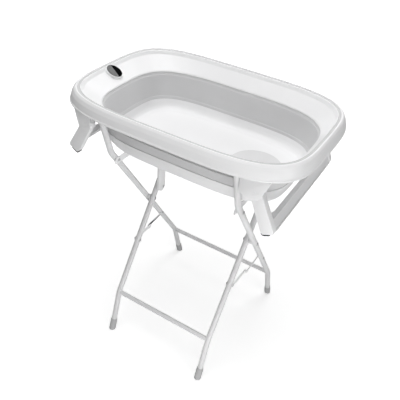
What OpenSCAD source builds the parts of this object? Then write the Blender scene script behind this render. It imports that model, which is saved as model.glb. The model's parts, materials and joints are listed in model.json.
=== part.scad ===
// Folding baby bath on a folding steel X-stand.
// Origin: on the floor, under the centre of the tub. X runs along the tub, Y across it, Z up.

/* [Tub outline] */
// Half length of the tub at the inner edge of the rim lip
lip_a = 380; // [340:1:420]
// Half width of the tub at the inner edge of the rim lip
lip_b = 250; // [225:1:270]
// Squareness of the oval outlines
oval_n = 4; // [3.4:0.1:4.6]
// Height of the rim lip above the floor
lip_z = 979; // [950:1:1010]

/* [Tub body] */
// Height of the lower edge of the rim moulding, where the soft band starts
band_top_z = 926; // [917:1:932]
// Height of the lower edge of the soft band
band_low_z = 830; // [822:1:837]
// Height of the underside of the tray
tray_z = 790; // [787:1:797]
// Wall thickness of the mouldings
wall = 3; // [2:0.5:4]
// How far the tray rises when the tub is collapsed
collapse = 68; // [50:1:72]

/* [Stand] */
// Outside diameter of the frame tubes
tube_d = 21; // [19:0.5:23]
// Wall of the frame tubes
tube_wall = 1.5; // [1:0.1:2]
// Distance of the outer frame's tubes from the middle
outer_x = 233.5; // [233:0.5:236]
// Distance of the inner frame's tubes from the middle
inner_x = 202.5; // [200:0.5:203]
// Distance of a foot from the middle, across the tub
foot_y = 270; // [260:1:280]
// Place of the lower bend, across the tub
low_y = 218; // [210:1:225]
// Height of the lower bend
low_z = 167; // [160:1:175]
// Height of the main pivot
pivot_z = 496; // [490:1:502]
// Height of the upper bend
bend_z = 785; // [778:1:790]
// Slope of the upper tube ends, sideways travel for each unit of height
top_slope = 0.28; // [0.25:0.01:0.3]
// Diameter of the crossbars
bar_d = 17; // [14:0.5:18]
// Radius of the tube bends
bend_r = 70; // [60:5:90]

/* [Links] */
// Height of the upper fold links
rail_z = 751; // [742:1:757]
// Height of the lower fold links
brace_z = 352; // [345:1:365]
// How far the lower links hang below a straight line when open
brace_sag = 5; // [0:1:8]
// Width of an upper link strip
rail_w = 25; // [20:1:28]
// Length of the upper links beyond their outer rivets
rail_tail = 8; // [0:1:14]
// Width of a lower link strip on the inner frame
brace_wide = 14; // [12:1:18]
// Width of a lower link strip on the outer frame
brace_slim = 11; // [11:1:14]
// Thickness of a link strip
link_t = 2.2; // [1.8:0.1:2.4]

/* [Legs] */
// Leg hinge, distance from the middle along the tub
leg_x = 293; // [291:1:296]
// Leg hinge height
leg_z = 887; // [883:1:890]
// Lean of the leg at the head end from upright, in degrees
leg_lean_head = 30; // [27:1:32]
// Lean of the leg at the drain end from upright, in degrees
leg_lean_drain = 25; // [23:1:27]
// Length from the hinge to the end of the leg at the head end
leg_len_head = 131; // [126:1:133]
// Length from the hinge to the end of the leg at the drain end
leg_len_drain = 135; // [128:1:137]
// Width of a leg arm
leg_w = 42; // [38:1:44]
// Outer face of the leg arms, across the tub
leg_y = 232; // [230:1:233]
// Depth of a leg arm, across the tub
leg_t = 20; // [16:1:21]

/* [Fittings] */
// Centre of the floor disc along the tub
disc_x = 184; // [170:1:200]
// Centre of the floor disc across the tub
disc_y = 12; // [0:1:20]
// Radius of the floor disc
disc_r = 87; // [80:1:90]
// Radius of the drain hole
drain_r = 21; // [18:1:24]
// Length of the oval thermometer
thermo_l = 57; // [54:1:60]
// Width of the oval thermometer
thermo_w = 41; // [35:1:43]
// Angle of the thermometer on the rim's slope, its long side turned from level
thermo_turn = -45; // [-60:5:0]

/* [Hidden] */
$fn = 48;

seg = 72;                                 // points round each oval
tube_seg = 28;                            // points round each frame tube
bend_steps = 4;                           // steps in each tube bend
tube_r = tube_d / 2;
lean = atan2(low_y, pivot_z - low_z);     // lean of the main run of a frame from upright
bend_y = (bend_z - pivot_z) * tan(lean);
rib_z = 934;                              // lower edge of the rib under the rim
top_z = 940;                              // top of the plugs in the tube ends
plug_y = bend_y + (top_z - bend_z) * top_slope;
cap_h = 48;                               // height of a foot cap
gap_out = outer_x - tube_r;               // inner face of the outer tubes
gap_in = inner_x + tube_r;                // outer face of the inner tubes
rail_y = (rail_z - pivot_z) * tan(lean);
brace_y = (pivot_z - brace_z) * tan(lean);
bolt_r = 4;                               // pivot bolt
rivet_r = 3;                              // link rivets
fit = 0.05;                               // running clearance on a bolt or rivet
prop_dist = 57;                           // prop bolt above the main pivot, along the inner tube
prop_y = prop_dist * sin(lean);
prop_z = pivot_z + prop_dist * cos(lean);
prop_w = 38;                              // width of the prop
prop_t = 11;                              // thickness of the prop
floor_z = tray_z + 6;                     // inside floor of the tub
pad_h = 5;                                // height of the rubber pads under the legs
bar_out = 17;                             // outer face of a leg's bar, out from the hinge line
bar_h = 36;                               // height of a leg's bar
bar_step = 165;                           // half length of the narrow part of the bar's flange
drop_x = 10;                              // shift of the tub's lower part towards the drain end
slope = atan2(39, 35.5 + drop_x);         // slope of the inside of the rim at the head end
white = [0.93, 0.93, 0.94];
grey = [0.72, 0.72, 0.73];

// ---------- shared shapes ----------

// one oval ring of points: half length, half width, height, then middle along X and squareness
function oval(p) = [for (i = [0:seg - 1])
    let (t = 360 * (i + 0.5) / seg, c = cos(t), s = sin(t), n = len(p) > 4 ? p[4] : oval_n,
         r = pow(pow(abs(c), n) + pow(abs(s), n), -1 / n))
    [(len(p) > 3 ? p[3] : 0) + p[0] * c * r, p[1] * s * r, p[2]]];

// two triangles for each quad between ring k and the next, with n points to a ring
function ring_faces(k, next, n) = [for (i = [0:n - 1])
    let (j = (i + 1) % n, p = k * n, q = next * n)
    each [[p + i, q + i, q + j], [p + i, q + j, p + j]]];

// a closed oval ring with the given cross-section of [half length, half width, height]
module oval_ring(section) {
    n = len(section);
    polyhedron(points = [for (s = section) each oval(s)],
               faces = [for (k = [0:n - 1]) each ring_faces(k, (k + 1) % n, seg)], convexity = 8);
}

// a bowl: rings from the middle of the underside, over the edge, to the middle of the floor
module oval_bowl(section) {
    n = len(section);
    polyhedron(points = [for (s = section) each oval(s)],
               faces = concat([for (k = [0:n - 2]) each ring_faces(k, k + 1, seg)],
                              [[for (i = [0:seg - 1]) i]],
                              [[for (i = [seg - 1:-1:0]) (n - 1) * seg + i]]), convexity = 8);
}

// a section point at an offset from the lip line
function lip(d, z) = [lip_a + d, lip_b + d, z];

// a section point of the tub below the rim's slope: offsets from the lip line, along and across
function low(d, e, z, n) = [lip_a + d, lip_b + e, z, drop_x, n];

// round bar or tube along X between two places, centred on y, z
module bar_x(x0, x1, y, z, r) {
    translate([x0, y, z]) rotate([0, 90, 0]) cylinder(r = r, h = x1 - x0);
}

// straight piece of round section between two [y, z] points, in the plane x = 0
module straight(p, q, r_out, r_in) {
    d = q - p;
    translate([0, p[0], p[1]]) rotate([-atan2(d[0], d[1]), 0, 0])
        linear_extrude(norm(d)) section_of(r_out, r_in);
}

module section_of(r_out, r_in) {
    if (r_in > 0) difference() { circle(r = r_out); circle(r = r_in); }
    else circle(r = r_out);
}

// the frame path in [y, z], for a tube whose foot is on the side given by s
function frame_path(s) = [[s * foot_y, 0], [s * low_y, low_z], [-s * bend_y, bend_z],
                          [-s * plug_y, top_z]];
function unit(v) = v / norm(v);

// points and directions of the rounded bend at v, between directions a and b
function bend_points(v, a, b) =
    let (turn = acos(a * b), side = sign(a[0] * b[1] - a[1] * b[0]),
         across = [-a[1], a[0]] * side, first = v - a * bend_r * tan(turn / 2))
    [for (i = [0:bend_steps]) let (f = turn * i / bend_steps)
        [first + bend_r * (sin(f) * a + (1 - cos(f)) * across), cos(f) * a + sin(f) * across]];

// point and direction of each ring of a frame tube
function tube_line(s, from_foot, from_top) =
    let (p = frame_path(s), a = unit(p[1] - p[0]), b = unit(p[2] - p[1]), c = unit(p[3] - p[2]))
    concat([[p[0] + a * from_foot, a]], bend_points(p[1], a, b), bend_points(p[2], b, c),
           [[p[3] - c * from_top, c]]);

function tube_ring(x, at, r) = [for (i = [0:tube_seg - 1]) let (f = 360 * i / tube_seg)
    [x + r * cos(f), at[0][0] - r * sin(f) * at[1][1], at[0][1] + r * sin(f) * at[1][0]]];

// bent, hollow tube in the plane x
module frame_tube(x, s) {
    line = tube_line(s, 8, 12);
    n = len(line);
    turns = concat([for (k = [0:n - 1]) [line[k], tube_r]],
                   [for (k = [n - 1:-1:0]) [line[k], tube_r - tube_wall]]);
    polyhedron(points = [for (t = turns) each tube_ring(x, t[0], t[1])],
               faces = [for (k = [0:2 * n - 1]) each ring_faces(k, (k + 1) % (2 * n), tube_seg)],
               convexity = 8);
}

// places where bolts and rivets cross a frame tube
function link_holes(s) = [[-s * rail_y, rail_z], [s * brace_y, brace_z]];

module drilled_tube(x, s, extra) {
    difference() {
        frame_tube(x, s);
        for (h = concat(link_holes(s), extra))
            bar_x(x - tube_d, x + tube_d, h[0], h[1], rivet_r + fit);
        bar_x(x - tube_d, x + tube_d, 0, pivot_z, bolt_r + fit);
    }
}

// bar between the lower bends of a frame, its ends cut to the tubes
module crossbar(x, s) {
    mid = tube_line(s, 0, 0)[1 + bend_steps / 2];
    difference() {
        translate([-x, mid[0][0], mid[0][1]]) rotate([0, 90, 0])
            linear_extrude(2 * x) section_of(bar_d / 2, bar_d / 2 - 1.5);
        for (m = [-1, 1]) translate([m * x, 0, 0])
            straight(mid[0] - mid[1] * 30, mid[0] + mid[1] * 30, tube_r + 0.12, 0);
        for (m = [-1, 1]) translate([m * x - (m < 0 ? 30 : 0), mid[0][0] - 20, mid[0][1] - 20])
            cube([30, 40, 40]);
    }
}

// soft cap over a tube's foot, flat on the floor and narrower at its top
module foot_cap(x, s) {
    p = frame_path(s);
    a = unit(p[1] - p[0]);
    r = tube_r + 2.4;
    difference() {
        translate([x, p[0][0], p[0][1]]) rotate([-atan2(a[0], a[1]), 0, 0]) rotate_extrude()
            polygon([[0, -6], [r, -6], [r, cap_h - 8], [r - 1.4, cap_h], [tube_r, cap_h],
                     [tube_r, 8], [0, 8]]);
        translate([x - 40, s * foot_y - 60, -60]) cube([80, 120, 60]);
    }
}

// place of the rib under the rim, across the tub, at a distance x along it
function rib_y(x) = (lip_b - 10) * pow(1 - pow(abs(x) / (lip_a - 10), oval_n), 1 / oval_n);

// forked plug in a tube's top: its groove takes the rib under the rim
module top_plug(x, s) {
    p = frame_path(s);
    c = unit(p[3] - p[2]);
    translate([x, 0, 0]) difference() {
        union() {
            straight(p[3] - c * 12, p[3] + c * 12, tube_r + 1, 0);
            straight(p[3] - c * 42, p[3] - c * 12, (tube_r - tube_wall) * cos(180 / tube_seg) - 0.02, 0);
        }
        translate([-30, -s * plug_y - 40, top_z]) cube([60, 80, 40]);
        translate([-30, -s * rib_y(x) - 5.5, rib_z]) cube([60, 11, 40]);
    }
}

// a flat link strip in a plane of constant x, from rivet p to rivet q as [y, z], drilled at p
module link_strip(x0, p, q, w, tail) {
    u = unit(q - p);
    far = p - u * tail;
    side = [-u[1], u[0]] * (w / 2 - 0.03);
    translate([x0, 0, 0]) rotate([90, 0, 90]) linear_extrude(link_t) difference() {
        union() {
            for (e = [far, q]) translate(e) circle(r = w / 2);
            polygon([far + side, q + side, q - side, far - side]);
        }
        translate(p) circle(r = rivet_r + fit);
    }
}

// the strip's lowest x, for a link on the outer frame or the inner frame, at side m
function outer_link_x(m) = m > 0 ? gap_out - 0.3 - link_t : -gap_out + 0.3;
function inner_link_x(m) = m > 0 ? gap_in + 0.3 : -gap_in - 0.3 - link_t;

// outer link: a flat stud at its free end stands for the joint with the inner link
module link_with_stud(m, p, q, w, tail) {
    link_strip(outer_link_x(m), p, q, w, tail);
    reach = gap_out - gap_in - 2 * link_t - 1.1;
    x0 = m > 0 ? outer_link_x(m) - reach : outer_link_x(m) + link_t;
    bar_x(x0, x0 + reach, q[0], q[1], 5);
}

// inner link: a thin head at its free end
module link_with_head(m, p, q, w, tail) {
    link_strip(inner_link_x(m), p, q, w, tail);
    x0 = m > 0 ? inner_link_x(m) + link_t : inner_link_x(m) - 0.2;
    bar_x(x0, x0 + 0.2, q[0], q[1], 5);
}

// rivet through a frame tube and its link: dome outside, thin head inside the gap
module frame_rivet(x, m, from_inner, y, z) {
    // sign of the direction from the tube towards its link
    t = from_inner ? m : -m;
    reach = from_inner ? gap_in + 0.3 + link_t : gap_out - 0.3 - link_t;
    far = x * m - t * (tube_r + 1.2);
    near = m * reach;
    lo = min(far, near);
    hi = max(far, near);
    bar_x(lo, hi, y, z, rivet_r);
    translate([far, y, z]) rotate([0, t > 0 ? -90 : 90, 0]) dome(5.2, 2.4);
    head = t > 0 ? near : near - 1.6;
    bar_x(head, head + 1.6, y, z, 5);
    washer = t > 0 ? far : far - 1.2;
    bar_x(washer, washer + 1.2, y, z, 6);
}

// shallow button head standing on the plane z = 0
module dome(r, h) {
    big = (r * r + h * h) / (2 * h);
    intersection() {
        translate([0, 0, h - big]) sphere(r = big, $fn = 64);
        cylinder(r = r + 1, h = h + 1);
    }
}

// ---------- outer frame ----------

module outer_tube_left() color(white) drilled_tube(-outer_x, 1, []);
module outer_tube_right() color(white) drilled_tube(outer_x, 1, []);
module outer_crossbar() color(white) crossbar(outer_x, 1);
module outer_foot_caps() color(grey) for (m = [-1, 1]) foot_cap(m * outer_x, 1);
module outer_top_plugs() color(grey) for (m = [-1, 1]) top_plug(m * outer_x, 1);

module pivot_bolts() color("silver") for (m = [-1, 1]) {
    out_x = outer_x + tube_r;
    in_x = inner_x - tube_r - 0.4;
    bar_x(min(m * in_x, m * out_x), max(m * in_x, m * out_x), 0, pivot_z, bolt_r);
    translate([m * in_x, 0, pivot_z]) rotate([0, -m * 90, 0]) dome(7, 3.4);
    translate([m * out_x, 0, pivot_z]) rotate([0, m * 90, 0]) dome(7, 3.4);
}

module pivot_spacers() color(grey) for (m = [-1, 1]) difference() {
    bar_x(min(m * gap_in + m * 0.3, m * gap_out), max(m * gap_in + m * 0.3, m * gap_out),
          0, pivot_z, 9);
    bar_x(-300, 300, 0, pivot_z, bolt_r);
}

module outer_rail_rivets() color("silver") for (m = [-1, 1])
    frame_rivet(outer_x, m, false, -rail_y, rail_z);
module outer_brace_rivets() color("silver") for (m = [-1, 1])
    frame_rivet(outer_x, m, false, brace_y, brace_z);

// ---------- inner frame ----------

module inner_tube_left() color(white) drilled_tube(-inner_x, -1, [[prop_y, prop_z]]);
module inner_tube_right() color(white) drilled_tube(inner_x, -1, []);
module inner_crossbar() color(white) crossbar(inner_x, -1);
module inner_foot_caps() color(grey) for (m = [-1, 1]) foot_cap(m * inner_x, -1);
module inner_top_plugs() color(grey) for (m = [-1, 1]) top_plug(m * inner_x, -1);
module inner_rail_rivets() color("silver") for (m = [-1, 1])
    frame_rivet(inner_x, m, true, rail_y, rail_z);
module inner_brace_rivets() color("silver") for (m = [-1, 1])
    frame_rivet(inner_x, m, true, -brace_y, brace_z);

prop_x0 = -inner_x + tube_r + 4.5;        // face of the prop next to the tube
module prop_bolt() color("silver") {
    bar_x(-inner_x + tube_r + 0.1, prop_x0 - 0.3, prop_y, prop_z, 7);
    bar_x(-gap_in, prop_x0 + prop_t + 0.6, prop_y, prop_z, rivet_r);
    translate([prop_x0 + prop_t + 0.6, prop_y, prop_z]) rotate([0, 90, 0]) dome(6, 2.6);
}

// ---------- links ----------

module rail_outer(m) color(white)
    link_with_stud(m, [-rail_y, rail_z], [0, rail_z], rail_w, rail_tail);
module rail_inner(m) color(white)
    link_with_head(m, [rail_y, rail_z], [0, rail_z], rail_w, rail_tail);
module brace_outer(m) color(white)
    link_with_stud(m, [brace_y, brace_z], [0, brace_z - brace_sag], brace_slim, 0);
module brace_inner(m) color(white)
    link_with_head(m, [-brace_y, brace_z], [0, brace_z - brace_sag], brace_wide, 0);
module rail_outer_left() rail_outer(-1);
module rail_outer_right() rail_outer(1);
module rail_inner_left() rail_inner(-1);
module rail_inner_right() rail_inner(1);
module brace_outer_left() brace_outer(-1);
module brace_outer_right() brace_outer(1);
module brace_inner_left() brace_inner(-1);
module brace_inner_right() brace_inner(1);

// ---------- prop under the tray ----------

prop_mid = prop_y - 8;                    // middle of the prop, across the tub
prop_top = tray_z - 9.6;
module tray_prop() color(white) difference() {
    union() {
        bar_x(prop_x0, prop_x0 + prop_t, prop_mid, prop_z + 4, prop_w / 2);
        translate([prop_x0, prop_mid - prop_w / 2, prop_z + 4])
            cube([prop_t, prop_w, prop_top - prop_z - 4]);
    }
    // folded open at the back, as a pressed channel
    translate([prop_x0 - 1, prop_mid - prop_w / 2 + 2, prop_z + 22])
        cube([prop_t - 1, prop_w - 4, prop_top - prop_z - 34]);
    bar_x(-300, 0, prop_y, prop_z, rivet_r + fit);
}
// its top is rounded about the bolt, so that it swings clear of the tray
module prop_pad() color(grey) intersection() {
    translate([prop_x0, prop_mid - prop_w / 2 - 3, prop_top])
        cube([prop_t + 5, prop_w + 6, 8.6]);
    bar_x(prop_x0 - 1, prop_x0 + prop_t + 6, prop_y, prop_z, tray_z - 1 - prop_z);
}

// ---------- tub ----------

module rim_shell() color(white) oval_ring([
    low(-42, -38.5, band_top_z, 3.5), low(-39.5, -36, band_top_z + 5, 3.5), lip(-4, lip_z - 9),
    lip(0, lip_z - 1), lip(3, lip_z + 3), lip(8, lip_z + 5), lip(14, lip_z + 4),
    lip(20, lip_z - 2), lip(25, lip_z - 12), lip(28, lip_z - 24), lip(29.5, lip_z - 31),
    lip(31.5, lip_z - 34), lip(31.5, lip_z - 37), lip(28, lip_z - 37), lip(25.5, lip_z - 31),
    lip(21.5, lip_z - 13), lip(16, lip_z - 2), lip(9, lip_z + 1), lip(3.5, lip_z - 1.5),
    lip(-1, lip_z - 10), lip(-8.5, lip_z - 18), lip(-8.5, rib_z), lip(-11.5, rib_z),
    lip(-11.5, lip_z - 21.5), low(-37, -33.5, band_top_z + 3, 3.5)]);

// soft band between the rim and the tray
module collapsible_band() color(grey) oval_ring([
    low(-42, -38.5, band_top_z - 0.2, 3.5), low(-47, -43.5, band_top_z - 20, 3.6),
    low(-57, -52, band_low_z + 24, 3.9), low(-65.5, -56.5, band_low_z, 4),
    low(-62.5, -53.5, band_low_z, 4), low(-54, -49, band_low_z + 24, 3.9),
    low(-44, -40.5, band_top_z - 20, 3.6), low(-39, -35.5, band_top_z - 0.2, 3.5)]);

module base_tray() color(white) difference() {
    oval_bowl([
        low(-86.5, -80, tray_z, 4), low(-76, -70, tray_z + 1.5, 4), low(-69, -64, tray_z + 6, 4),
        low(-64, -58.5, tray_z + 15, 4), low(-59.5, -51, band_low_z - 3, 4),
        low(-54, -45.5, band_low_z + 17, 3.95), low(-56, -47.5, band_low_z + 17, 3.95),
        low(-62, -53, band_low_z - 0.3, 4), low(-65.5, -56.5, band_low_z - 0.3, 4),
        low(-68.5, -60.5, band_low_z - 14, 4), low(-72, -65, floor_z + 11, 4),
        low(-80, -73, floor_z + 2.5, 4), low(-95, -88, floor_z, 4)]);
    translate([disc_x, disc_y, tray_z - 1]) cylinder(r = drain_r + 4, h = 20);
}

module floor_disc() color(grey) difference() {
    translate([disc_x, disc_y, floor_z]) cylinder(r = disc_r, h = 2.5, $fn = 96);
    translate([disc_x, disc_y, floor_z - 1]) cylinder(r = drain_r + 4, h = 5);
}
module drain_seat() color(white) translate([disc_x, disc_y, 0]) difference() {
    translate([0, 0, tray_z]) cylinder(r = drain_r + 4, h = 8.5);
    translate([0, 0, tray_z - 1]) cylinder(r = drain_r - 3, h = 12);
    translate([0, 0, tray_z + 3]) cylinder(r = drain_r + 0.1, h = 12);
}
module drain_seal() color([0.45, 0.45, 0.46]) translate([disc_x, disc_y, tray_z + 3])
    difference() {
        cylinder(r = drain_r, h = 1.9);
        translate([0, 0, -1]) cylinder(r = drain_r - 6, h = 4);
    }
module drain_plug() color(grey) translate([disc_x, disc_y, 0]) {
    translate([0, 0, tray_z + 4.95]) cylinder(r = drain_r - 0.2, h = 4);
    translate([0, 0, tray_z + 1]) cylinder(r = drain_r - 6.5, h = 5);
    translate([-2, -drain_r + 7, tray_z + 8]) cube([4, 2 * drain_r - 14, 9]);
}

// ---------- legs ----------

// front view of an arm, hinge at the origin, pointing down along -Y
function arm_outline(w, l, r) = [[-w / 2 + 3, 0], [w / 2 - 3, 0], [w / 2, -l + 10],
                                 [w / 2 - 4, -l], [-w / 2 + 4, -l], [-w / 2, -l + 10]];
module arm_flat(w, l) { polygon(arm_outline(w, l)); circle(r = w / 2 - 3); }

// one arm, outer face on y = 0, body towards +Y; open at its inner side
module leg_arm(l) rotate([90, 0, 0]) translate([0, 0, -leg_t]) difference() {
    linear_extrude(leg_t) arm_flat(leg_w, l);
    translate([0, 0, -1]) linear_extrude(leg_t - 3) difference() {
        arm_flat(leg_w - 7, l - 4);
        circle(r = 10);
    }
    translate([0, 0, -1]) cylinder(r = 5 + fit, h = leg_t + 2);
}

// the pair of arms and the channel bar between them, hinge line on the Y axis
module u_leg(l) {
    for (m = [-1, 1]) translate([0, m > 0 ? leg_y : -leg_y, 0])
        mirror([0, m > 0 ? 1 : 0, 0]) leg_arm(l);
    half = leg_y - leg_t + 0.01;
    translate([bar_out - 3, -half, -l]) cube([3, 2 * half, bar_h]);
    translate([bar_out - 14, -half, -l]) cube([16, 2 * half, 3]);
    // upper flange, wider beside each arm
    difference() {
        translate([bar_out - 23, -half, bar_h - l - 3]) cube([23, 2 * half, 3]);
        translate([bar_out - 24, -bar_step, bar_h - l - 4]) cube([5, 2 * bar_step, 5]);
    }
}

// places something in the right leg's frame; m = -1 mirrors it to the left
module at_leg(m) mirror([m < 0 ? 1 : 0, 0, 0]) translate([leg_x, 0, leg_z]) children();
module leg_parts(m) at_leg(m) rotate([0, m > 0 ? -leg_lean_drain : -leg_lean_head, 0])
    children();
function leg_length(m) = m > 0 ? leg_len_drain : leg_len_head;

// front view of a pad, round the lower inner corner of an arm
module pad_flat(l) translate([-leg_w / 2, -l])
    polygon([[2.4, 4], [4, 0], [29, 0], [27.5, -pad_h + 1.5], [24, -pad_h], [9, -pad_h],
             [4.5, -pad_h + 0.8], [1.2, -pad_h + 2.8], [-0.6, 1.5], [-0.2, 4]]);
module leg_pads(m) color("black") leg_parts(m) for (s = [-1, 1])
    translate([0, s > 0 ? leg_y - 0.5 : -leg_y + leg_t - 0.5, 0]) rotate([90, 0, 0])
        linear_extrude(leg_t - 1) pad_flat(leg_length(m));
module leg_pins(m) color("silver") at_leg(m) for (s = [-1, 1])
    translate([0, s > 0 ? leg_y + 4.2 : -leg_y + leg_t + 4.2, 0]) rotate([90, 0, 0])
        cylinder(r = 5, h = leg_t + 8.4);

// side view of a bracket plate, hinge at the origin: wide at the drain end, narrow at the head end
function bracket_in(m) = m > 0 ? -47 : -16;
module bracket_flat(m) {
    top = rib_z - leg_z;
    if (m > 0) polygon([[-47, top], [40, top], [26, 9], [21, -8], [8, -24], [-12, -27],
                        [-24, -24], [-38, -19], [-47, -13]]);
    else polygon([[-16, top], [43, top], [37, 18], [30, -12], [24, -19], [15, -23], [4, -24],
                  [-9, -20], [-16, -12]]);
}
module leg_brackets(m) color(white) at_leg(m) for (s = [-1, 1]) difference() {
    translate([0, s > 0 ? leg_y + 3.6 : -leg_y + leg_t + 3.6, 0]) rotate([90, 0, 0])
        union() {
            linear_extrude(3) bracket_flat(m);
            translate([0, 0, leg_t + 4.2]) linear_extrude(3) bracket_flat(m);
            translate([bracket_in(m), rib_z - leg_z - 3, 0])
                cube([40 - bracket_in(m), 3, leg_t + 7.2]);
        }
    translate([0, s * leg_y + 60, 0]) rotate([90, 0, 0]) cylinder(r = 5, h = 120);
}
module left_leg_brackets() leg_brackets(-1);
module right_leg_brackets() leg_brackets(1);
module left_leg_pins() leg_pins(-1);
module right_leg_pins() leg_pins(1);
module left_leg() color(white) leg_parts(-1) u_leg(leg_length(-1));
module right_leg() color(white) leg_parts(1) u_leg(leg_length(1));
module left_leg_pads() leg_pads(-1);
module right_leg_pads() leg_pads(1);

// ---------- thermometer ----------

// local frame on the inside slope of the rim at the head end, z along the slope's normal
thermo_d = -15.2;                         // offset of its centre from the lip line
thermo_y = -8.5;                          // its centre, across the tub
module on_slope() translate([-(lip_a + thermo_d), thermo_y, lip_z - 9 + (thermo_d + 4) * tan(slope)])
    rotate([0, slope, 0]) children();
// an oval layer, set at an angle on the slope
module layer(z, h, l, w) rotate([0, 0, thermo_turn]) translate([0, 0, z]) linear_extrude(h)
    polygon([for (i = [0:39]) [w / 2 * cos(i * 9), l / 2 * sin(i * 9)]]);

// solid that follows the rim's lip and slope, grown by g
module lip_block(g) translate([-lip_a, 0, lip_z]) rotate([90, 0, 0])
    translate([0, 0, -60]) linear_extrude(120) offset(delta = g)
        polygon([[39.5 + drop_x, -48], [4, -9], [0, -1], [-3, 3], [-8, 5], [-14, 4], [-14, -40],
                 [39.5 + drop_x, -80]]);

module thermometer_cradle() color(white) difference() {
    on_slope() difference() {
        layer(0.15, 8.3, thermo_l + 6, thermo_w + 6);
        layer(4.1, 9, thermo_l + 0.6, thermo_w + 0.6);
    }
    lip_block(0.15);
}
module thermometer_case() color([0.2, 0.2, 0.21]) on_slope() difference() {
    layer(4.2, 4.4, thermo_l, thermo_w);
    layer(5.4, 9, thermo_l - 4, thermo_w - 4);
}
// the glass lies on the edge of the case: dark on one side, the display on the other
module glass(side) on_slope() intersection() {
    layer(8.65, 1.3, thermo_l - 1, thermo_w - 1);
    translate([-50, side > 0 ? 0.04 : -100.04, 0]) cube([100, 100, 20]);
}
module thermometer_window() color([0.06, 0.06, 0.07]) glass(1);
module thermometer_display() color([0.5, 0.52, 0.5]) glass(-1);
module thermometer_cell() color("silver") on_slope()
    rotate([0, 0, thermo_turn]) translate([0, 12, 5.5]) cylinder(r = 8, h = 2.6);
module thermometer_probe() color("silver") on_slope()
    rotate([0, 0, thermo_turn]) translate([0, -15, 5.5]) cylinder(r = 2.5, h = 2.4);

outer_tube_left();
outer_tube_right();
outer_crossbar();
outer_foot_caps();
outer_top_plugs();
pivot_bolts();
pivot_spacers();
outer_rail_rivets();
outer_brace_rivets();
inner_tube_left();
inner_tube_right();
inner_crossbar();
inner_foot_caps();
inner_top_plugs();
inner_rail_rivets();
inner_brace_rivets();
prop_bolt();
rail_outer_left();
rail_outer_right();
rail_inner_left();
rail_inner_right();
brace_outer_left();
brace_outer_right();
brace_inner_left();
brace_inner_right();
tray_prop();
prop_pad();
rim_shell();
collapsible_band();
base_tray();
floor_disc();
drain_seat();
drain_plug();
drain_seal();
left_leg_brackets();
right_leg_brackets();
left_leg_pins();
right_leg_pins();
left_leg();
right_leg();
left_leg_pads();
right_leg_pads();
thermometer_cradle();
thermometer_case();
thermometer_window();
thermometer_display();
thermometer_cell();
thermometer_probe();
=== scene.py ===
import json
import math
import bmesh
import bpy
from mathutils import Matrix, Vector


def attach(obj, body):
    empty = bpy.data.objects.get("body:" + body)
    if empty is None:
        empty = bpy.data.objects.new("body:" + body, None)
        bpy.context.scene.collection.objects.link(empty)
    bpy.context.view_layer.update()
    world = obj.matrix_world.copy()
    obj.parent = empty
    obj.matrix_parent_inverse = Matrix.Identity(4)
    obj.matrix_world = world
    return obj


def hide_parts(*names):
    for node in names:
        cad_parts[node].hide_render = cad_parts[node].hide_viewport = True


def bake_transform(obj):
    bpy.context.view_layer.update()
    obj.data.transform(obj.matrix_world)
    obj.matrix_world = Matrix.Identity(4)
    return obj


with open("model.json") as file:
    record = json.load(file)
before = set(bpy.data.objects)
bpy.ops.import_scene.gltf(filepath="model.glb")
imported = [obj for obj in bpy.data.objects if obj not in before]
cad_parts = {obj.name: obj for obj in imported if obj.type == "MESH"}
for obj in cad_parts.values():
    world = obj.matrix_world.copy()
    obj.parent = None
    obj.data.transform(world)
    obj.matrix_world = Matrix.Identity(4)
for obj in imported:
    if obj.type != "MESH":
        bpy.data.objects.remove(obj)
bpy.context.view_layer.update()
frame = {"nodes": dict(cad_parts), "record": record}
nodes = frame["nodes"]


# ---------- camera, fitted to the photo's crossbars, feet and rim ends ----------

AZ, EL, ROLL = math.radians(28.624), math.radians(37.872), math.radians(4.814)
EYE = (0.6933, -1.2663, 1.7011)
back = Vector((math.sin(AZ) * math.cos(EL), -math.cos(AZ) * math.cos(EL), math.sin(EL)))
right = Vector((math.cos(AZ), math.sin(AZ), 0))
up = back.cross(right)
across = right * math.cos(ROLL) + up * math.sin(ROLL)
upward = up * math.cos(ROLL) - right * math.sin(ROLL)
cam_data = bpy.data.cameras.new("camera")
cam_data.lens = 46.17
cam_data.sensor_width = 36
camera = bpy.data.objects.new("camera", cam_data)
bpy.context.collection.objects.link(camera)
camera.matrix_world = Matrix.Translation(EYE) @ Matrix((across, upward, back)).transposed().to_4x4()
bpy.context.scene.camera = camera
bpy.context.scene.view_settings.view_transform = "Standard"


# ---------- materials ----------

CONTRAST = (0.3, 0.7)      # the part of a noise's range that is used
TONE_SCALE, GLOSS_SCALE = 14, 35
BUMP_HEIGHT = 0.0006


def ramp(nt, value, given, wanted):
    """Map Range node that turns one range of a socket's value into another."""
    node = nt.nodes.new("ShaderNodeMapRange")
    for name, limits in (("From", given), ("To", wanted)):
        node.inputs[name + " Min"].default_value = limits[0]
        node.inputs[name + " Max"].default_value = limits[1]
    nt.links.new(value, node.inputs["Value"])
    return node


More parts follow.
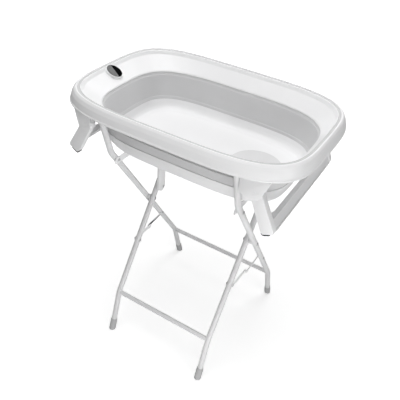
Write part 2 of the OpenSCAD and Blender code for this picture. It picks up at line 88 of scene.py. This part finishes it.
def material(name, colour, rough, grain, grain_size, tone, rough_var=0.05, metal=0.0, spec=0.5):
    """Plain finish with its own fine grain, slight unevenness of tone and of gloss."""
    mat = bpy.data.materials.new(name)
    mat.use_nodes = True
    nt = mat.node_tree
    shader = nt.nodes["Principled BSDF"]
    shader.inputs["Metallic"].default_value = metal
    shader.inputs["Specular IOR Level"].default_value = spec
    coord = nt.nodes.new("ShaderNodeTexCoord")

    def noise(scale, detail):
        tex = nt.nodes.new("ShaderNodeTexNoise")
        tex.inputs["Scale"].default_value = scale
        tex.inputs["Detail"].default_value = detail
        nt.links.new(coord.outputs["Object"], tex.inputs["Vector"])
        return tex.outputs["Fac"]

    if tone:
        mix = nt.nodes.new("ShaderNodeMix")
        mix.data_type = "RGBA"
        mix.inputs["A"].default_value = (*[c * (1 - tone) for c in colour], 1)
        mix.inputs["B"].default_value = (*[min(1, c * (1 + tone)) for c in colour], 1)
        uneven = ramp(nt, noise(TONE_SCALE, 3), CONTRAST, (0, 1))
        nt.links.new(uneven.outputs["Result"], mix.inputs["Factor"])
        nt.links.new(mix.outputs["Result"], shader.inputs["Base Color"])
    else:
        shader.inputs["Base Color"].default_value = (*colour, 1)
    vary = ramp(nt, noise(GLOSS_SCALE, 2), CONTRAST, (rough - rough_var, rough + rough_var))
    nt.links.new(vary.outputs["Result"], shader.inputs["Roughness"])
    if grain:
        bump = nt.nodes.new("ShaderNodeBump")
        bump.inputs["Strength"].default_value = grain
        bump.inputs["Distance"].default_value = BUMP_HEIGHT
        nt.links.new(noise(grain_size, 2), bump.inputs["Height"])
        nt.links.new(bump.outputs["Normal"], shader.inputs["Normal"])
    return mat


MATS = {
    "painted_tube": material("tube_coat", (0.76, 0.76, 0.765), 0.34, 0.06, 300, 0.015),
    "painted_link": material("link_coat", (0.88, 0.88, 0.885), 0.38, 0.06, 300, 0.015),
    "bolt_steel": material("bolt_steel", (0.62, 0.62, 0.63), 0.35, 0.05, 600, 0.05, metal=1.0),
    "grey_plastic": material("cap_plastic", (0.48, 0.48, 0.485), 0.55, 0.15, 500, 0.04),
    "soft_band": material("band_rubber", (0.645, 0.645, 0.65), 0.55, 0.06, 500, 0.015),
    "white_plastic": material("shell_plastic", (0.88, 0.88, 0.885), 0.32, 0.0, 160, 0.006, 0.03,
                              spec=0.35),
    # painted shade: grey for the strip in the recess along the rim's crest, standing in for its
    # shadow
    "groove": material("groove_plastic", (0.6, 0.6, 0.605), 0.5, 0.0, 160, 0.006, 0.03, spec=0.2),
    "disc_grey": material("disc_plastic", (0.72, 0.72, 0.725), 0.5, 0.08, 500, 0.015),
    "black_rubber": material("pad_rubber", (0.02, 0.02, 0.02), 0.6, 0.2, 600, 0.1, spec=0.2),
    "dark_plastic": material("case_plastic", (0.05, 0.05, 0.052), 0.3, 0.05, 600, 0.05),
    "dark_window": material("window_plastic", (0.004, 0.004, 0.0045), 0.4, 0.0, 600, 0.0, 0.02,
                            spec=0.0),
    # painted reflection: dark grey for the half of the thermometer glass where a glossy reflection
    # shows
    "display_grey": material("display_reflection_paint", (0.17, 0.172, 0.17), 0.25, 0.02, 600, 0.05,
                             spec=0.2),
    "cell_steel": material("cell_steel", (0.6, 0.6, 0.61), 0.3, 0.05, 600, 0.03, metal=1.0),
}
# pieces that look otherwise in the photo than their slot says
LOOKS = {"left_leg_pins": "white_plastic", "right_leg_pins": "white_plastic",
         "pivot_spacers": "painted_link"}
for part in frame["record"]["subparts"]:
    for slot in nodes[part["node"]].material_slots:
        slot.material = MATS[LOOKS.get(part["node"], part["material_slot"])]


# ---------- driving values (mm), for the CAD's own sizes the same as in its source ----------

MM = 0.001
LIP_A, LIP_B, LIP_Z = 380, 250, 979
BAND_TOP, BAND_LOW, TRAY_Z = 926, 830, 790
RIB_Z = 934
TUBE_R = 10.5
OUTER_X, INNER_X = 233.5, 202.5
FOOT_Y, LOW_Y, LOW_Z = 270, 218, 167
PIVOT_Z, BEND_Z, TOP_Z = 496, 785, 940
BEND_Y = (BEND_Z - PIVOT_Z) * LOW_Y / (PIVOT_Z - LOW_Z)
TOP_SLOPE = 0.28
PLUG_Y = BEND_Y + (TOP_Z - BEND_Z) * TOP_SLOPE
BEND_R = 70
FROM_FOOT, FROM_TOP = 8, 12                 # where a tube ends inside its cap and its plug
DROP_X = 10
FLOOR_Z = TRAY_Z + 6
DISC_X, DISC_Y = 184, 12
SEAT_HOLE_R = 25
THERMO_L, THERMO_W, THERMO_TURN = 57, 41, -45
THERMO_D, THERMO_Y = -15.2, -8.5            # its centre, from the lip line and across the tub
GLASS_Z, DOME_H, GLASS_GAP = 9.4, 0.53, 0.04
SLOPE = math.atan2(39, 35.5 + DROP_X)
CREST_SHADE_D, CREST_SHADE_Z = (2.0, 10.8), (0.8, 4.2)  # limits of the painted shade in the rim's recess, outward and upward from the crest
OVAL_SEG = 288
SHARP = 32                                  # degrees; an edge that turns more counts as sharp


# ---------- mesh helpers ----------

def make(name, bm, slot, body, replaced, sharp=SHARP):
    """Smooth-shaded object on a body, in place of some CAD nodes."""
    bmesh.ops.recalc_face_normals(bm, faces=bm.faces)
    for face in bm.faces:
        face.smooth = True
    for edge in bm.edges:
        edge.smooth = len(edge.link_faces) < 2 or edge.calc_face_angle(0) < math.radians(sharp)
    mesh = bpy.data.meshes.new(name)
    bm.to_mesh(mesh)
    bm.free()
    obj = bpy.data.objects.new(name, mesh)
    bpy.context.collection.objects.link(obj)
    mesh.materials.append(MATS[slot])
    if body:
        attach(obj, body)
    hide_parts(*replaced)
    return obj


def turns(n):
    """Angles of n equal steps round a circle."""
    return [2 * math.pi * i / n for i in range(n)]


def join(bm, lower, upper):
    """Faces between two closed rings of corners."""
    for i in range(len(lower)):
        j = (i + 1) % len(lower)
        bm.faces.new((lower[i], lower[j], upper[j], upper[i]))


def slice_off(bm, at, normal):
    """Keeps the side of the mesh that the normal points to, and closes the cut."""
    cut = bmesh.ops.bisect_plane(bm, geom=bm.verts[:] + bm.edges[:] + bm.faces[:], plane_co=at,
                                 plane_no=normal, clear_inner=True)
    edges = [g for g in cut["geom_cut"] if isinstance(g, bmesh.types.BMEdge)]
    bmesh.ops.holes_fill(bm, edges=edges, sides=0)


def rounded(points, radii, steps=4, closed=True):
    """Corners of a section turned into curves of about the given radius."""
    out = []
    n = len(points)
    for i, (q, radius) in enumerate(zip(points, radii)):
        if radius <= 0 or (not closed and i in (0, n - 1)):
            out.append(q)
            continue
        p, s = points[i - 1], points[(i + 1) % n]
        a, b = Vector((p[0] - q[0], p[2] - q[2])), Vector((s[0] - q[0], s[2] - q[2]))
        reach = min(radius * math.tan((math.pi - a.angle(b)) / 2), 0.48 * a.length,
                    0.48 * b.length)
        for k in range(steps + 1):
            f = k / steps
            wa, wb = (1 - f) ** 2 * reach / a.length, f * f * reach / b.length
            out.append(tuple(v + (u - v) * wa + (w - v) * wb for u, v, w in zip(p, q, s)))
    return out


def oval_point(p, t):
    """Half length, half width, height, middle along X and squareness of an oval, at an angle."""
    a, b, z, middle, n = p
    c, s = math.cos(t), math.sin(t)
    r = (abs(c) ** n + abs(s) ** n) ** (-1 / n)
    return Vector((middle + a * c * r, b * s * r, z)) * MM


def oval_strip(bm, section, closed):
    """Rings of the rounded oval, one for each point of the section."""
    rings = [[bm.verts.new(oval_point(p, t)) for t in turns(OVAL_SEG)] for p in section]
    for k in range(len(rings) if closed else len(rings) - 1):
        join(bm, rings[k], rings[(k + 1) % len(rings)])
    return rings


def lip(d, z):
    """Point of a section of the rim, outward and upward from its crest."""
    return (LIP_A + d, LIP_B + d, LIP_Z + z, 0, 4)


def low(d, e, z, n=4):
    """Point of a section of the tub below the rim: outward along X and along Y, and its height."""
    return (LIP_A + d, LIP_B + e, z, DROP_X, n)


def softened(node, width, slot, body, segments=2):
    """The CAD piece with its edges rounded off."""
    bm = bmesh.new()
    bm.from_mesh(nodes[node].data)
    bmesh.ops.remove_doubles(bm, verts=bm.verts, dist=1e-6)
    bmesh.ops.dissolve_limit(bm, angle_limit=math.radians(0.6), verts=bm.verts, edges=bm.edges)
    edges = [e for e in bm.edges if len(e.link_faces) == 2
             and e.calc_face_angle(0) > math.radians(SHARP)]
    bmesh.ops.bevel(bm, geom=edges, offset=width * MM, segments=segments, profile=0.6,
                    affect="EDGES", clamp_overlap=True)
    return make(node + "_soft", bm, slot, body, [node])


# ---------- rim ----------

RIM = [
    (low(-42, -38.5, BAND_TOP, 3.5), 0.6), (low(-39.5, -36, BAND_TOP + 5, 3.5), 4),
    (lip(-4.6, -9.4), 5), (lip(-1.4, -2.2), 3), (lip(0.6, 1.6), 1.2), (lip(2.2, 2.6), 0.6),
    (lip(3.2, 1.4), 0.8), (lip(10.0, 1.9), 0.8), (lip(11.0, 4.4), 0.6), (lip(12.8, 4.6), 0.8),
    (lip(14.6, 5.0), 1.6), (lip(19.8, -0.6), 6), (lip(25.2, -12), 14), (lip(28, -24), 14),
    (lip(29.2, -30.5), 1.2), (lip(31.5, -33.2), 1.2), (lip(31.5, -37), 1.0), (lip(28, -37), 0.8),
    (lip(25.5, -31), 2), (lip(21.5, -13), 8), (lip(16, -2), 5), (lip(9, -0.5), 0.5),
    (lip(3.5, -2.5), 3), (lip(-1, -10), 1), (lip(-8.5, -18), 1), (lip(-8.5, RIB_Z - LIP_Z), 0.8),
    (lip(-11.5, RIB_Z - LIP_Z), 0.8), (lip(-11.5, -21.5), 1),
    (low(-37, -33.5, BAND_TOP + 3, 3.5), 1)]
bm = bmesh.new()
section = rounded([p for p, r in RIM], [r for p, r in RIM])
oval_strip(bm, section, True)
rim = make("tub_rim_moulding", bm, "white_plastic", "tub_rim", ["rim_shell"], 40)
# painted shade: grey colour in the recess along the crest of the rim, darkening it beyond the
# recess's own shadow
rim.data.materials.append(MATS["groove"])
in_groove = [CREST_SHADE_D[0] < p[0] - LIP_A < CREST_SHADE_D[1]
             and CREST_SHADE_Z[0] < p[2] - LIP_Z < CREST_SHADE_Z[1] for p in section]
for face in rim.data.polygons:
    k = face.index // OVAL_SEG
    if in_groove[k] and in_groove[(k + 1) % len(section)]:
        face.material_index = 1

# ---------- soft band, with its fold lines ----------

BAND = [
    (low(-42, -38.5, BAND_TOP - 0.2, 3.5), 0), (low(-43.6, -40, BAND_TOP - 8, 3.5), 0.6),
    (low(-45.0, -41.4, BAND_TOP - 9.4, 3.5), 0.8), (low(-48, -44.2, BAND_TOP - 24, 3.6), 6),
    (low(-57, -52, BAND_LOW + 26, 3.9), 6), (low(-60.3, -53.8, BAND_LOW + 11, 4), 0.8),
    (low(-61.9, -55.2, BAND_LOW + 9.6, 4), 0.8), (low(-65.5, -56.5, BAND_LOW), 0),
    (low(-62.5, -53.5, BAND_LOW), 0), (low(-56.3, -47.7, BAND_LOW + 15.5, 3.95), 1),
    (low(-55.4, -47.4, BAND_LOW + 18, 3.95), 1),
    (low(-47.4, -43.0, BAND_TOP - 50, 3.75), 1.0), (low(-47.2, -42.8, BAND_TOP - 47, 3.7), 0.8),
    (low(-50.2, -46.2, BAND_TOP - 45, 3.7), 1.0),
    (low(-44.4, -40.9, BAND_TOP - 20, 3.6), 4), (low(-41.4, -37.6, BAND_TOP - 9, 3.5), 0.8),
    (low(-39.4, -36, BAND_TOP - 6.8, 3.5), 0.8), (low(-39, -35.5, BAND_TOP - 0.2, 3.5), 0)]
bm = bmesh.new()
oval_strip(bm, rounded([p for p, r in BAND], [r for p, r in BAND]), True)
band = make("soft_band_folds", bm, "soft_band", None, ["collapsible_band"], 50)
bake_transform(band)

# ---------- tray ----------

TRAY = [
    (low(-137, -130, TRAY_Z), 0), (low(-86.5, -80, TRAY_Z), 10), (low(-76, -70, TRAY_Z + 1.5), 10),
    (low(-69, -64, TRAY_Z + 6), 12), (low(-64, -58.5, TRAY_Z + 15), 14),
    (low(-59.5, -51, BAND_LOW - 3), 12), (low(-54, -45.5, BAND_LOW + 17, 3.95), 0.7),
    (low(-56, -47.5, BAND_LOW + 17, 3.95), 0.7), (low(-62, -53, BAND_LOW - 0.3), 0.3),
    (low(-65.5, -56.5, BAND_LOW - 0.3), 0.8), (low(-68.5, -60.5, BAND_LOW - 14), 14),
    (low(-72, -65, TRAY_Z + 17), 14), (low(-80, -73, TRAY_Z + 8.5), 12),
    (low(-95, -88, FLOOR_Z), 20), (low(-137, -130, FLOOR_Z), 0)]
bm = bmesh.new()
rings = oval_strip(bm, rounded([p for p, r in TRAY], [r for p, r in TRAY], 5, False), False)
hole = [[bm.verts.new(Vector((DISC_X + SEAT_HOLE_R * math.cos(f),
                              DISC_Y + SEAT_HOLE_R * math.sin(f), z)) * MM) for f in turns(72)]
        for z in (TRAY_Z, FLOOR_Z)]
join(bm, *hole)
bm.edges.ensure_lookup_table()
for ring, loop in ((rings[0], hole[0]), (rings[-1], hole[1])):
    border = [bm.edges.get((row[i], row[(i + 1) % len(row)])) for row in (ring, loop)
              for i in range(len(row))]
    bmesh.ops.triangle_fill(bm, use_beauty=True, use_dissolve=False, edges=border,
                            normal=(0, 0, 1))
make("tub_tray_moulding", bm, "white_plastic", "tray", ["base_tray"], 40)

# ---------- frame tubes ----------

def frame_line(s, steps=16):
    """Centre line of a frame tube in the Y-Z plane: points and directions."""
    p = [Vector(v) for v in ((s * FOOT_Y, 0), (s * LOW_Y, LOW_Z), (-s * BEND_Y, BEND_Z),
                             (-s * PLUG_Y, TOP_Z))]
    way = [(p[i + 1] - p[i]).normalized() for i in range(3)]
    line = [(p[0] + way[0] * FROM_FOOT, way[0])]
    for k in (1, 2):
        a, b = way[k - 1], way[k]
        turn = a.angle(b)
        side = 1 if a.x * b.y - a.y * b.x > 0 else -1
        out = Vector((-a.y, a.x)) * side
        first = p[k] - a * BEND_R * math.tan(turn / 2)
        for i in range(steps + 1):
            f = turn * i / steps
            line.append((first + (a * math.sin(f) + out * (1 - math.cos(f))) * BEND_R,
                         a * math.cos(f) + out * math.sin(f)))
    line.append((p[3] - way[2] * FROM_TOP, way[2]))
    return line


def swept(bm, x, line, r):
    """Tube of radius r along a line in the Y-Z plane at x."""
    rings = [[bm.verts.new(Vector((x + r * math.cos(f), at.x - r * math.sin(f) * way.y,
                                   at.y + r * math.sin(f) * way.x)) * MM) for f in turns(40)]
             for at, way in line]
    for lower, upper in zip(rings, rings[1:]):
        join(bm, lower, upper)
    bm.faces.new(rings[0])
    bm.faces.new(rings[-1])


for frame_name, tube_x, s in (("outer", OUTER_X, 1), ("inner", INNER_X, -1)):
    for side, m in (("left", -1), ("right", 1)):
        bm = bmesh.new()
        swept(bm, m * tube_x, frame_line(s), TUBE_R)
        node = f"{frame_name}_tube_{side}"
        make(node + "_steel", bm, "painted_tube", f"{frame_name}_frame", [node])

# ---------- foot caps ----------

# radius and distance along the leg
CAP = [(12.9, -7), (12.9, 6), (12.9, 34), (12.5, 35.2), (12.5, 36.6), (12.9, 37.8), (12.7, 43),
       (11.9, 47.2), (11.2, 48), (10.55, 47.6), (10.55, 8)]
for frame_name, cap_x, s in (("outer", OUTER_X, 1), ("inner", INNER_X, -1)):
    bm = bmesh.new()
    for m in (-1, 1):
        origin = Vector((m * cap_x, s * FOOT_Y, 0))
        way = Vector((0, s * (LOW_Y - FOOT_Y), LOW_Z)).normalized()
        side = Vector((1, 0, 0)).cross(way)
        rows = [[bm.verts.new((origin + way * z + Vector((r * math.cos(f), 0, 0))
                               + side * r * math.sin(f)) * MM)
                 for f in turns(48)] for r, z in CAP]
        for lower, upper in zip(rows, rows[1:]):
            join(bm, lower, upper)
        bm.faces.new(rows[0])
    slice_off(bm, (0, 0, 0), (0, 0, 1))
    make(frame_name + "_foot_caps_moulded", bm, "grey_plastic", f"{frame_name}_frame",
         [frame_name + "_foot_caps"], 28)

# ---------- pieces that keep their CAD shape, with rounded edges ----------

for side in ("left", "right"):
    softened(side + "_leg", 1.2, "white_plastic", "leg_" + side)
    softened(side + "_leg_brackets", 0.9, "white_plastic", "tub_rim")
    softened(side + "_leg_pads", 0.8, "black_rubber", "leg_" + side)
    for link in ("rail", "brace"):
        for part in ("outer", "inner"):
            node = f"{link}_{part}_{side}"
            softened(node, 0.5, "painted_link", node)
softened("tray_prop", 1.0, "painted_link", "prop")
softened("prop_pad", 2.2, "soft_band", "prop", segments=3)
for part in ("outer", "inner"):
    softened(part + "_top_plugs", 0.6, "grey_plastic", part + "_frame")

# ---------- thermometer ----------

# on the inside slope at the head end, z along the slope's normal
SLOPE_AT = Matrix.Translation(
    Vector((-(LIP_A + THERMO_D), THERMO_Y, LIP_Z - 9 + (THERMO_D + 4) * math.tan(SLOPE))) * MM
) @ Matrix.Rotation(SLOPE, 4, "Y")
TURN = Matrix.Rotation(math.radians(THERMO_TURN), 4, "Z")


def oval_layers(bm, layers):
    """Closed stack of oval outlines: length, width and height of each, in mm."""
    rows = [[bm.verts.new(SLOPE_AT @ TURN @ (Vector((w / 2 * math.cos(f), l / 2 * math.sin(f), z))
                                             * MM)) for f in turns(72)] for l, w, z in layers]
    for lower, upper in zip(rows, rows[1:]):
        join(bm, lower, upper)
    bm.faces.new(rows[0])
    bm.faces.new(rows[-1])


# how much larger than the case, and height
BEZEL = [(9.0, -1.2), (8.4, 1.2), (7.4, 4.5), (6.0, 7.2), (4.4, 8.4), (2.2, 8.4), (1.0, 7.9),
         (0.6, 7.0), (0.6, 4.1)]
bm = bmesh.new()
oval_layers(bm, [(THERMO_L + d, THERMO_W + d, z) for d, z in BEZEL])
make("thermometer_bezel", bm, "white_plastic", "tub_rim", ["thermometer_cradle"], 50)
# the glass is cut across the oval: black on one side, painted reflection in dark grey on the other
for name, slot, side in (("window", "dark_window", 1), ("display", "display_grey", -1)):
    bm = bmesh.new()
    layers = [(THERMO_L - d, THERMO_W - d, z) for d, z in ((1, 8.65), (1, 9.1), (1.5, GLASS_Z))]
    layers += [((THERMO_L - 1.5) * f, (THERMO_W - 1.5) * f, GLASS_Z + DOME_H * (1 - f * f) + 0.02)
               for f in (0.93, 0.8, 0.6, 0.4, 0.2, 0.05)]
    oval_layers(bm, layers)
    slice_off(bm, SLOPE_AT @ Vector((0, side * GLASS_GAP * MM, 0)),
              SLOPE_AT.to_3x3() @ Vector((0, side, 0)))
    make("thermometer_glass_" + name, bm, slot, "thermometer", ["thermometer_" + name], 40)


# ---------- floor, background and light ----------

floor_mesh = bpy.data.meshes.new("floor")
bm = bmesh.new()
bmesh.ops.create_grid(bm, x_segments=1, y_segments=1, size=14)
bm.to_mesh(floor_mesh)
bm.free()
floor = bpy.data.objects.new("floor", floor_mesh)
floor.location = (0, 0, -0.0006)     # just under the feet
bpy.context.collection.objects.link(floor)
floor_mat = bpy.data.materials.new("floor_white")
floor_mat.use_nodes = True
nt = floor_mat.node_tree
base = nt.nodes["Principled BSDF"]
base.inputs["Base Color"].default_value = (0.8, 0.8, 0.8, 1)
base.inputs["Roughness"].default_value = 0.9
base.inputs["Specular IOR Level"].default_value = 0.0
glow = nt.nodes.new("ShaderNodeEmission")
glow.inputs["Color"].default_value = (1, 1, 1, 1)
add = nt.nodes.new("ShaderNodeAddShader")
# white where the camera sees it far off, plain with its shadows near the stand
place = nt.nodes.new("ShaderNodeNewGeometry")
reach = nt.nodes.new("ShaderNodeVectorMath")
reach.operation = "LENGTH"
far = ramp(nt, reach.outputs["Value"], (0.5, 2.0), (0.48, 1.0))
far.interpolation_type = "SMOOTHSTEP"
light_path = nt.nodes.new("ShaderNodeLightPath")
level = nt.nodes.new("ShaderNodeMath")
level.operation = "MULTIPLY"
nt.links.new(place.outputs["Position"], reach.inputs[0])
nt.links.new(far.outputs["Result"], level.inputs[1])
nt.links.new(light_path.outputs["Is Camera Ray"], level.inputs[0])
nt.links.new(level.outputs[0], glow.inputs["Strength"])
nt.links.new(base.outputs[0], add.inputs[0])
nt.links.new(glow.outputs[0], add.inputs[1])
nt.links.new(add.outputs[0], nt.nodes["Material Output"].inputs["Surface"])
floor_mesh.materials.append(floor_mat)

world = bpy.data.worlds.new("studio")
bpy.context.scene.world = world
world.use_nodes = True
wt = world.node_tree
sky = wt.nodes["Background"]
sky.inputs["Color"].default_value = (1, 1, 1, 1)
# soft light from the head end, white where the camera sees it
coord = wt.nodes.new("ShaderNodeTexCoord")
split = wt.nodes.new("ShaderNodeSeparateXYZ")
side_light = ramp(wt, split.outputs["X"], (-1, 0), (0.45, 0))
path = wt.nodes.new("ShaderNodeLightPath")
strength = wt.nodes.new("ShaderNodeMix")
strength.inputs["B"].default_value = 1.0
wt.links.new(coord.outputs["Generated"], split.inputs["Vector"])
wt.links.new(path.outputs["Is Camera Ray"], strength.inputs["Factor"])
wt.links.new(side_light.outputs["Result"], strength.inputs["A"])
wt.links.new(strength.outputs["Result"], sky.inputs["Strength"])


def lamp(name, place, aim, size, power):
    """Square lamp that the camera doesn't see."""
    data = bpy.data.lights.new(name, "AREA")
    data.size = size
    data.energy = power
    obj = bpy.data.objects.new(name, data)
    obj.location = place
    obj.rotation_euler = (Vector(aim) - Vector(place)).to_track_quat("-Z", "Y").to_euler()
    obj.visible_camera = False
    bpy.context.collection.objects.link(obj)


lamp("top", (-0.3, 0.3, 3.2), (0, 0, 0.9), 1.8, 33)
lamp("front_top", (-0.3, -0.8, 3.2), (0, 0, 0.9), 1.8, 24)
lamp("drain_end", (2.4, -0.9, 1.3), (0, 0, 0.8), 1.4, 21)
lamp("back", (0.5, 2.4, 2.2), (0, 0, 0.8), 1.6, 24)
lamp("low", (0.8, -1.25, 0.4), (0.15, 0, 0.65), 0.7, 8)
